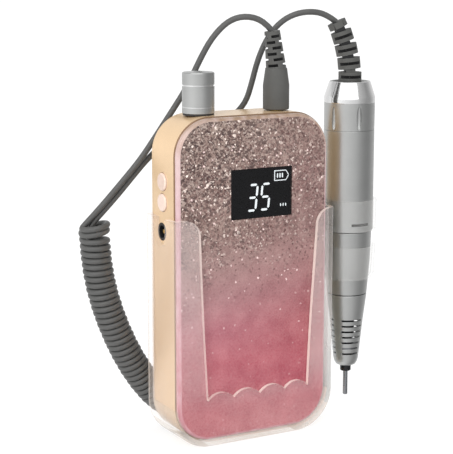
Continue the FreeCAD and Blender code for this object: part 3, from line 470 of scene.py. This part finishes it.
FINISHES = {
    "cord": moulded("cord_jacket", "4c4c4b", 0.42, coat_weight=0.15, coat_roughness=0.4),
    "boot": moulded("boot_rubber", "4b4b49", 0.5, grain=0.00003, scale=1200),
    "gold": champagne("champagne_lacquer", "ebcba3", 0.36),
    # A darker copy of the gold: painted shade on the frame's edges.
    "gold_painted_shade": champagne("champagne_painted_shade", "8c6c50", 0.42),
    "cover": champagne("champagne_cover", "e6c8a2", 0.46),
    "glitter": glitter_resin("glitter_resin"),
    "rim": resin_edge("resin_rim"),
    "acrylic": clear_acrylic("clear_acrylic", "f3e6e3", thin=0.1, thick=0.6, rough=0.08, pocket=0.3),
    # Brighter and more solid than the clear finish: painted highlights on cut and rounded edges.
    "acrylic_edge_highlight": clear_acrylic("acrylic_edge_highlight", "f7e5dc", thin=0.42, thick=0.75, rough=0.2),
    "acrylic_left": clear_acrylic("acrylic_left_wall", "ecdccf", thin=0.11, thick=0.6, rough=0.08,
                                  behind=0.75),
    "acrylic_thin": clear_acrylic("clear_sleeve_wall", "f2f1ee", thin=0.055, thick=0.6, rough=0.06),
    # A darker tan, more solid copy of the clear finish: painted shade near the holster's foot.
    "acrylic_foot_painted_shade": clear_acrylic("acrylic_foot_painted_shade", "dccbb9", thin=0.3, thick=0.7, rough=0.12),
    # A grey, more solid copy of the clear finish: painted shade on the right wall.
    "acrylic_right": clear_acrylic("acrylic_right_wall_painted_shade", "a9ada8", thin=0.3, thick=0.7, rough=0.08),
    "glass": smoked_glass("smoked_glass"),
    "lit": lit("lit_white"),
    "pearl": pearl("pearl_pink", "e0c8ba"),
    "satin": satin_metal("satin_aluminium", "c9cac9", 0.36),
    "polished": satin_metal("polished_band", "f4f4f4", 0.1, lines=0.2, grain=0.000001),
    # Black print for the barrel's dashes, also used as near-black painted shade inside the boots' slots.
    "ink_and_slot_shade": moulded("mark_ink_and_slot_shade", "161618", 0.5),
    "steel": satin_metal("turned_steel", "9b9da1", 0.26),
    "blackened": satin_metal("blackened_steel", "3f3f41", 0.34),
    "brass": satin_metal("plated_brass", "d9b566", 0.28),
    "iron": satin_metal("motor_iron", "8b8b8e", 0.42),
    "copper": satin_metal("winding_copper", "b8693c", 0.38, lines=1.0, grain=0.00003),
    "black": moulded("moulded_black", "1b1b1d", 0.42),
    "screen": moulded("screen_black", "070709", 0.3),
    "board": moulded("solder_mask", "1c5a38", 0.35, grain=0.00001, scale=900, coat_weight=0.4,
                     coat_roughness=0.1),
    "chips": moulded("chip_plastic", "26272a", 0.5),
    "wrap": moulded("cell_wrap", "2d5f9c", 0.25, grain=0.00001, scale=500, coat_weight=0.5,
                    coat_roughness=0.08),
    "spacer": moulded("spacer_plastic", "d8d6d0", 0.5),
    "lead": moulded("red_lead", "a82318", 0.4),
    "seal": moulded("soft_seal", "2f2d2c", 0.6),
}

# The parts that keep their own shape, and the finish of each.
NODE_FINISHES = {
    "main_board": "board", "side_board": "board", "terminal_board": "board", "board_screws": "steel",
    "board_components": "chips", "battery_cell_1": "wrap", "battery_cell_2": "wrap",
    "cell_spacers": "spacer", "nickel_strips": "steel", "battery_leads": "lead", "panel_leads": "lead",
    "speed_pot": "steel", "pot_nut": "brass", "knob_seal": "seal", "tact_switches": "black",
    "charge_pin": "brass", "output_socket": "black", "socket_nut": "brass", "pot_shaft": "steel",
    "knob_setscrew": "blackened", "display_module": "screen", "inner_housing": "black",
    "motor_can": "iron", "motor_magnets": "iron", "end_bell": "black", "brushes": "black",
    "rear_bearing": "steel", "front_bearing": "steel", "plug_barrel": "brass", "motor_shaft": "steel",
    "rotor": "copper", "commutator": "brass", "coupling": "steel", "collet": "steel",
}


def dress_nodes():
    for name, key in NODE_FINISHES.items():
        for slot in frame["nodes"][name].material_slots:
            slot.material = FINISHES[key]


# ---------------------------------------------------------------- how pieces are made

WELD = 0.002 * MM                       # corners closer than this are one corner
CUT_SLACK = 0.001 * MM                  # a cut keeps to the corners that are this close to it


def body_of(node):
    for body, members in frame["record"]["behaviour"]["bodies"].items():
        if node in members:
            return body
    raise ValueError(node)


def copy_of(node):
    """A node's shape with its loose triangles joined into whole faces."""
    work = bmesh.new()
    work.from_mesh(frame["nodes"][node].data)
    bmesh.ops.remove_doubles(work, verts=work.verts, dist=WELD)
    bmesh.ops.dissolve_limit(work, angle_limit=math.radians(0.6), verts=work.verts, edges=work.edges,
                             use_dissolve_boundaries=False)
    for face in work.faces:
        face.material_index = 0
    return work


def lathe(profile, centre, steps):
    """A turned ring about an upright axis, from the (radius, height) corners of its section in metres."""
    work = bmesh.new()
    verts = [work.verts.new((centre.x + radius, centre.y, height)) for radius, height in profile]
    edges = [work.edges.new(pair) for pair in [*zip(verts, verts[1:]), (verts[-1], verts[0])]]
    bmesh.ops.spin(work, geom=verts + edges, cent=(*centre, 0), axis=(0, 0, 1), dvec=(0, 0, 0), angle=TAU,
                   steps=steps, use_merge=True, use_duplicate=False)
    bmesh.ops.remove_doubles(work, verts=work.verts, dist=WELD)
    bmesh.ops.recalc_face_normals(work, faces=work.faces)
    return work


def soften(work, width, segments, least=32, material=-1, only=None):
    """Rounds edges sharper than least degrees, or those of them whose middle passes a test."""
    sharp = [e for e in work.edges if len(e.link_faces) == 2 and e.calc_face_angle(0) > math.radians(least)]
    if only:
        sharp = [e for e in sharp if only((e.verts[0].co + e.verts[1].co) / 2)]
    bmesh.ops.bevel(work, geom=sharp, offset=width, offset_type="OFFSET", segments=segments, profile=0.5,
                    affect="EDGES", clamp_overlap=True, loop_slide=True, material=material)
    return work


def piece(name, work, finishes, nodes):
    """Writes a finished shape to an object that stands for its nodes and moves with their body."""
    mesh = bpy.data.meshes.new(name)
    work.to_mesh(mesh)
    work.free()
    for key in finishes:
        mesh.materials.append(FINISHES[key])
    mesh.shade_smooth()
    mesh.set_sharp_from_angle(angle=math.radians(40))
    thing = bpy.data.objects.new(name, mesh)
    bpy.context.scene.collection.objects.link(thing)
    weights = thing.modifiers.new("even_shading", "WEIGHTED_NORMAL")
    weights.keep_sharp = True
    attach(thing, body_of(nodes[0]))
    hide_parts(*nodes)


# ---------------------------------------------------------------- holster

def make_holster():
    """Clear walls, with painted highlights on the cut ends of the lips and walls and on all rounded edges,
    and painted shade on the right wall and near the foot.
    """
    low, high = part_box("holster_shell")
    lip, side, foot = 2.05 * MM, 2.65 * MM, 20 * MM
    edge, left_wall, right_wall, base = 1, 2, 3, 4
    shell = copy_of("holster_shell")
    for face in shell.faces:
        at = face.calc_center_median()
        inside = low.x + side < at.x < high.x - side
        # Cut ends of the lips and tops of the walls get the edge finish: painted highlights.
        if abs(face.normal.y) < 0.3 and at.y < low.y + lip and inside and at.z > foot:
            face.material_index = edge
        elif face.normal.z > 0.9 and at.z > high.z - 0.1 * MM:
            face.material_index = edge
        # The right wall's faces get the grey copy: painted shade.
        elif abs(face.normal.x) > 0.9 and not inside:
            face.material_index = left_wall if at.x < 0 else right_wall
        # Faces near the foot get the darker tan copy: painted shade.
        elif abs(face.normal.y) < 0.5 and at.z < foot:
            face.material_index = base
    # The rounded edges get the same painted highlight.
    soften(shell, 0.7 * MM, 3, material=edge)
    finishes = ("acrylic", "acrylic_edge_highlight", "acrylic_left", "acrylic_right", "acrylic_foot_painted_shade")
    piece("clear_holster", shell, finishes, ["holster_shell"])
    # The sleeve's rounded ring edges get the painted highlight too.
    rings = soften(copy_of("handpiece_sleeve"), 0.25 * MM, 2, material=1)
    piece("clear_sleeve", rings, ("acrylic_thin", "acrylic_edge_highlight"), ["handpiece_sleeve"])


# ---------------------------------------------------------------- control box

def make_case():
    """The gold frame, with a darker copy of the gold on the edges of its mouth and of its left side as
    painted shade.
    """
    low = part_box("case_frame")[0]
    near = 0.05 * MM
    tub = copy_of("case_frame")
    # The edges of the mouth and of the left side get the darker copy of the gold: painted shade.
    soften(tub, 0.6 * MM, 3, material=1, only=lambda at: at.y < low.y + near)
    soften(tub, 0.35 * MM, 2, least=50, material=1,
           only=lambda at: at.y > low.y + MM and at.x < low.x + near)
    piece("gold_frame", tub, ("gold", "gold_painted_shade"), ["case_frame"])
    cover = soften(copy_of("back_cover"), 0.5 * MM, 3, least=50)
    piece("rear_cover", cover, ("cover",), ["back_cover"])
    screws = soften(copy_of("case_screws"), 0.12 * MM, 2, least=50)
    piece("cover_screws", screws, ("steel",), ["case_screws"])


def rounded_slab(low, high, corner, edge):
    """A slab with round corners, seen from the front, and a rounded front edge."""
    work = bmesh.new()
    outline = ((low.x, low.z), (high.x, low.z), (high.x, high.z), (low.x, high.z))
    corners = [work.verts.new((x, high.y, z)) for x, z in outline]
    work.faces.new(corners)
    bmesh.ops.bevel(work, geom=corners, offset=corner, offset_type="OFFSET", segments=20, profile=0.5,
                    affect="VERTICES", material=-1)
    grown = bmesh.ops.extrude_face_region(work, geom=work.faces[:], use_keep_orig=True)["geom"]
    front = next(item for item in grown if isinstance(item, bmesh.types.BMFace))
    bmesh.ops.translate(work, verts=front.verts[:], vec=(0, low.y - high.y, 0))
    rim = front.edges[:]
    bmesh.ops.recalc_face_normals(work, faces=work.faces)
    bmesh.ops.bevel(work, geom=rim, offset=edge, offset_type="OFFSET", segments=6, profile=0.5,
                    affect="EDGES", material=-1)
    return work


def cut_through(work, place, normal):
    """Adds the edges of a straight cut, and takes nothing away."""
    bmesh.ops.bisect_plane(work, geom=work.verts[:] + work.edges[:] + work.faces[:], dist=CUT_SLACK,
                           plane_co=place, plane_no=normal)


def cut_window(work, low, high):
    """Opens a straight-sided window right through a slab."""
    for place, normal in ((low, (1, 0, 0)), (high, (1, 0, 0)), (low, (0, 0, 1)), (high, (0, 0, 1))):
        cut_through(work, place, normal)
    inside = []
    for face in work.faces:
        at = face.calc_center_median()
        if low.x < at.x < high.x and low.z < at.z < high.z:
            inside.append(face)
    bmesh.ops.delete(work, geom=inside, context="FACES")
    open_edges = [e for e in work.edges if len(e.link_faces) == 1]
    bmesh.ops.bridge_loops(work, edges=open_edges)
    bmesh.ops.recalc_face_normals(work, faces=work.faces)


def make_panel():
    """The glitter panel with its clear rim, open round the smoked window."""
    low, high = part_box("front_panel")
    high.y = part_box("decor_film")[1].y
    corner, edge = 17.5 * MM, 2.1 * MM
    panel = rounded_slab(low, high, corner, edge)
    gap = Vector((0.05 * MM, 0, 0.05 * MM))
    window_low, window_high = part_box("display_window")
    cut_window(panel, window_low - gap, window_high + gap)
    for face in panel.faces:
        at = face.calc_center_median()
        outside = abs(at.x) > high.x - 2 * edge or not low.z + 2 * edge < at.z < high.z - 2 * edge
        near_corner = abs(at.x) > high.x - corner and (at.z > high.z - corner or at.z < low.z + corner)
        # The rim's faces get the paler rim finish: painted light carried through the clear resin.
        if face.normal.y > -0.97 and (outside or near_corner):
            face.material_index = 1
    piece("glitter_panel", panel, ("glitter", "rim"), ["front_panel", "decor_film"])
    window = soften(copy_of("display_window"), 0.25 * MM, 3)
    piece("window_glass", window, ("glass",), ["display_window"])


# Each bar of a figure: how far across and up its middle is, and whether it lies flat.
BARS = {"a": (0.5, 1.0, True), "g": (0.5, 0.5, True), "d": (0.5, 0.0, True), "f": (0.0, 0.75, False),
        "b": (1.0, 0.75, False), "c": (1.0, 0.25, False)}
FIGURES = {"3": "abgcd", "5": "afgcd"}     # the bars that are lit in each figure


def lit_bar(work, x, z, long, thick, upright, lean=0.0, level=0.0):
    """One lit bar with pointed ends, leaning to the right above a level and to the left below it."""
    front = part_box("display_figures")[0].y
    deep = 0.1 * MM
    end, tip = long / 2, thick / 2
    outline = ((-end, 0), (-end + tip, -tip), (end - tip, -tip), (end, 0), (end - tip, tip),
               (-end + tip, tip))
    corners = []
    for along, across in outline:
        dx, dz = (across, along) if upright else (along, across)
        height = z + dz
        corners.append(work.verts.new((x + dx + (height - level) * lean, front, height)))
    if upright:
        corners.reverse()
    face = work.faces.new(corners)
    grown = bmesh.ops.extrude_face_region(work, geom=[face])["geom"]
    moved = [v for v in grown if isinstance(v, bmesh.types.BMVert)]
    bmesh.ops.translate(work, verts=moved, vec=(0, deep, 0))


def make_number(work, corner):
    """The speed that is set, in two figures that lean a little."""
    wide, tall, thick = 4.3 * MM, 12.1 * MM, 1.05 * MM
    flat_long, upright_long = wide - 0.75 * MM, tall / 2 - 1.15 * MM
    foot = corner.z + 3.5 * MM
    lean = math.tan(math.radians(6))
    for figure, start in (("3", 10.1), ("5", 17.0)):
        for name in FIGURES[figure]:
            across, up, flat = BARS[name]
            x = corner.x + start * MM + across * wide
            z = foot + up * tall
            long = flat_long if flat else upright_long
            lit_bar(work, x, z, long, thick, not flat, lean, foot + tall / 2)


def make_battery_sign(work, corner):
    """A battery's outline with a pointed right end, filled by three blocks."""
    left, right = corner.x + 24.2 * MM, corner.x + 32.0 * MM
    base, top = corner.z + 16.8 * MM, corner.z + 21.4 * MM
    level = (base + top) / 2
    line = 0.4 * MM
    flat_middle, flat_long = (left + right - 1.6 * MM) / 2, right - left - 1.3 * MM
    for z in (base, top):
        lit_bar(work, flat_middle, z, flat_long, line, False)
    lit_bar(work, left, level, top - base, line, True)
    for end in (base, top):
        lean = math.copysign(0.62, level - end)
        lit_bar(work, right - 0.1 * MM, (level + end) / 2, top - level, line, True, lean, level)
    for block in range(3):
        lit_bar(work, left + (1.6 + 1.35 * block) * MM, level, 2.3 * MM, 0.6 * MM, True)


def make_figures():
    """The lit number, the battery sign and three tally strokes, behind the smoked window."""
    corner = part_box("display_window")[0]
    work = bmesh.new()
    make_number(work, corner)
    make_battery_sign(work, corner)
    for tally in range(3):
        x = corner.x + (27.6 + 1.4 * tally) * MM
        lit_bar(work, x, corner.z + 5.0 * MM, 1.5 * MM, 0.5 * MM, True)
    bmesh.ops.recalc_face_normals(work, faces=work.faces)
    piece("lit_figures", work, ("lit",), ["display_figures"])


def make_knob():
    """The turned knob, with a polished groove high up and a polished line near its foot."""
    low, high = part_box("speed_knob")
    knob = copy_of("speed_knob")
    centre = middle("speed_knob").to_2d()
    least = radius_of("speed_knob") - MM
    groove, half_groove = high.z - 6.1 * MM, 0.3 * MM
    line = (low.z + 2.6 * MM, low.z + 2.9 * MM)
    paint_band(knob, groove - half_groove, groove + half_groove, least, 1, centre=centre)
    soften(knob, 0.22 * MM, 3)
    for level in line:
        cut_through(knob, (0, 0, level), (0, 0, 1))
    paint_band(knob, *line, least, 1, centre=centre)
    piece("turned_knob", knob, ("satin", "polished"), ["speed_knob"])


def make_buttons():
    """The two pearly caps and the charging jack's housing."""
    for node in ("button_upper", "button_lower"):
        button = soften(copy_of(node), 0.3 * MM, 3)
        piece(node.replace("button", "cap"), button, ("pearl",), [node])
    jack = soften(copy_of("charge_jack"), 0.2 * MM, 2)
    piece("jack_housing", jack, ("black",), ["charge_jack"])


# ---------------------------------------------------------------- handpiece

def paint_band(work, low, high, least, material, first=-180, last=180, centre=PEN):
    """Gives another finish to the outer faces between two levels and two compass angles."""
    for face in work.faces:
        at = face.calc_center_median()
        out = at.to_2d() - centre
        angle = math.degrees(math.atan2(out.y, out.x))
        if low < at.z < high and out.length > least and first <= angle <= last:
            face.material_index = material


MARKS = ((-180, -159), (-115, -69), (-25, 21), (65, 111), (155, 180))   # the dark dashes round the barrel


def make_barrel():
    """The long tube with a row of dark dashes near its foot, and the collar below it."""
    low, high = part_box("barrel")
    outer = radius_of("barrel")
    inner = outer - 1.2 * MM
    mark_low = low.z + 3.1 * MM
    mark_high = mark_low + 1.3 * MM
    profile = [(inner, low.z), (outer, low.z), (outer, mark_low), (outer, mark_high), (outer, high.z),
               (inner, high.z)]
    barrel = lathe(profile, PEN, 144)
    soften(barrel, 0.3 * MM, 3)
    for first, last in MARKS:
        paint_band(barrel, mark_low, mark_high, inner + 0.5 * MM, 1, first, last)
    piece("barrel_shell", barrel, ("satin", "ink_and_slot_shade"), ["barrel"])
    collar = soften(copy_of("lock_collar"), 0.2 * MM, 3)
    piece("collar_shell", collar, ("satin",), ["lock_collar"])


def make_rear_cap():
    """The cap that closes the handpiece: six lens-shaped notches under a polished taper."""
    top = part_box("rear_cap")[1].z
    step = top - 10.2 * MM
    cap = soften(copy_of("rear_cap"), 0.18 * MM, 2, least=24)
    paint_band(cap, step, top + MM, 9.0 * MM, 1)
    piece("cap_shell", cap, ("satin", "polished"), ["rear_cap"])


def make_nose():
    """The vented nose, the chuck that turns in it, and the plain shank that the chuck holds."""
    nose = soften(copy_of("nose_cone"), 0.16 * MM, 2, least=40, material=1)
    piece("vented_nose", nose, ("satin", "polished"), ["nose_cone"])
    chuck = soften(copy_of("spindle"), 0.2 * MM, 2, least=50)
    piece("spindle_chuck", chuck, ("blackened",), ["spindle"])
    shank = soften(copy_of("bit_blank"), 0.1 * MM, 2, least=40)
    piece("bit_shank", shank, ("steel",), ["bit_blank"])


def paint_slot_shade(work, gap, material):
    """Marks the inside of each slot narrower than gap for a near-black painted shade, spreading over its
    inward corners.
    """
    work.normal_update()
    tree = BVHTree.FromBMesh(work)
    lift = 0.02 * MM
    inward = -0.5                       # radians: an edge folded in by more joins two faces of a slot
    found = set()
    for face in work.faces:
        at = face.calc_center_median()
        if tree.ray_cast(at + face.normal * lift, face.normal, gap)[0]:
            found.add(face)
    spreading = list(found)
    while spreading:
        face = spreading.pop()
        for edge in face.edges:
            if len(edge.link_faces) == 2 and edge.calc_face_angle_signed(0) < inward:
                for other in edge.link_faces:
                    if other not in found:
                        found.add(other)
                        spreading.append(other)
    for face in found:
        face.material_index = material


def make_boots():
    """The ribbed rubber ends of the cord, with near-black painted shade in the slots between the ribs."""
    boots = (("pen_boot", "handpiece_boot", 1.48 * MM, 0.3 * MM),
             ("plug_grip", "plug_boot", 1.36 * MM, 0.2 * MM))
    for name, node, gap, width in boots:
        boot = copy_of(node)
        # The insides of the slots get the near-black finish: painted shade.
        paint_slot_shade(boot, gap, 1)
        soften(boot, width, 2, least=40)
        piece(name, boot, ("boot", "ink_and_slot_shade"), [node])


# ---------------------------------------------------------------- cord

def spline_curve(name, points, radius=0.0):
    """One open smooth spline through the route, as a round cord when it has a radius."""
    curve = bpy.data.curves.new(name, "CURVE")
    curve.dimensions = "3D"
    spline = curve.splines.new("NURBS")
    spline.points.add(len(points) - 1)
    for point, place in zip(spline.points, points):
        point.co = (*place, 1)
    spline.order_u = 3
    spline.use_endpoint_u = True
    spline.resolution_u = 4 if radius else 12
    curve.bevel_depth = radius
    curve.bevel_resolution = 4
    curve.use_fill_caps = True
    line = bpy.data.objects.new(name, curve)
    bpy.context.scene.collection.objects.link(line)
    return line


def points_of(route):
    """The points of a route's own smooth spline."""
    line = spline_curve("guide", route)
    bpy.context.view_layer.update()
    mesh = bpy.data.meshes.new_from_object(line)
    places = [v.co.copy() for v in mesh.vertices]
    bpy.data.meshes.remove(mesh)
    bpy.data.objects.remove(line)
    return places


class Guide:
    """A smooth line with a steady sideways frame, looked up by the distance along it."""

    def __init__(self, route, side):
        self.places = points_of(route)
        self.along = [0.0]
        for a, b in zip(self.places, self.places[1:]):
            self.along.append(self.along[-1] + (b - a).length)
        self.long = self.along[-1]
        self.side = side

    def at(self, distance):
        """Place and two sideways directions; past the ends the line goes straight on."""
        index = 0
        while index < len(self.places) - 2 and self.along[index + 1] < distance:
            index += 1
        a, b = self.places[index], self.places[index + 1]
        ahead = (b - a).normalized()
        place = a + ahead * (distance - self.along[index])
        across = (self.side - ahead * self.side.dot(ahead)).normalized()
        return place, across, ahead.cross(across)

    def around(self, distance, radius, angle):
        """A point beside the line, at an angle that turns from one sideways direction to the other."""
        place, across, out = self.at(distance)
        return place + across * (radius * math.cos(angle)) + out * (radius * math.sin(angle))


STEPS = 14                              # points in each turn of the coil
FIRST_ANGLE = math.radians(98)          # where the first turn starts, from the front round to the left
PITCH = 2.95 * MM                       # from one turn to the next
CLOSER = (0.2 * MM, 0.15 * MM)          # how much nearer to the next one the first turns lie
RAISED = (2.9 * MM, 3.0 * MM, 0.6 * MM, 0.2 * MM)   # how far their right side is raised
HEAD, FOOT = 4.0 * MM, 9.0 * MM         # the guide's two ends that have no turns

# The loop at the coil's foot: degrees past the last turn, millimetres further on and from the middle.
FOOT_LOOP = ((0, 0.6, 5.9), (-35, 2.4, 5.8), (-68, 4.8, 5.1), (-95, 6.9, 3.4), (-105, 7.9, 1.0),
             (80, 7.4, 1.4), (70, 5.2, 2.7), (55, 2.2, 2.9), (20, -2.0, 2.4))


def coil_points():
    """Turns from the top of the coil to its foot, a small loop there, and back up inside them."""
    guide = Guide(COIL_ROUTE, Vector((0, -1, 0)))
    radius = TURN_R / math.cos(math.pi / STEPS) ** 1.5  # the spline runs inside its points
    turns = int((guide.long + sum(CLOSER) - FOOT) / PITCH)
    places = []
    distance = HEAD
    for step in range(turns * STEPS):
        turn, place_in_turn = divmod(step, STEPS)
        angle = FIRST_ANGLE - TAU * place_in_turn / STEPS
        closer = CLOSER[turn] if turn < len(CLOSER) else 0
        raised = RAISED[turn] if turn < len(RAISED) else 0
        swell = 1 + (0.05 if turn == 0 else 0.012 * math.sin(turn * 2.1))
        level = distance - raised * (1 - math.sin(angle)) / 2
        places.append(guide.around(level, radius * swell, angle))
        distance += (PITCH - closer) / STEPS
    for turned, ahead, reach in FOOT_LOOP:
        places.append(guide.around(distance + ahead * MM, reach * MM, FIRST_ANGLE + math.radians(turned)))
    rise = 13
    for step in range(1, rise):
        level = (distance - HEAD) * (1 - step / rise)
        if level > 10 * MM:
            places.append(guide.around(level, 0.9 * MM, -2.3 * step))
    return places


def make_cord():
    """One cord from the plug down, through all the coil's turns, and up again to the handpiece."""
    route = PLUG_ROUTE + coil_points() + PEN_ROUTE[::-1]
    cord = spline_curve("handpiece_cord", route, CORD_R)
    cord.data.materials.append(FINISHES["cord"])
    line = points_of(route)
    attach(cord, "handpiece")
    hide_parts("cord_tail_plug", "cord_coil", "cord_tail_handpiece")


make_sky()
make_table()
soft_light("key", (-1.25, -0.75, 0.9), 0.7, 17)
soft_light("fill", (0.9, -0.9, 0.7), 0.9, 3)
make_camera()
bpy.context.scene.view_settings.view_transform = "Standard"
make_cord()
dress_nodes()
make_holster()
make_case()
make_panel()
make_figures()
make_knob()
make_buttons()
make_barrel()
make_rear_cap()
make_nose()
make_boots()
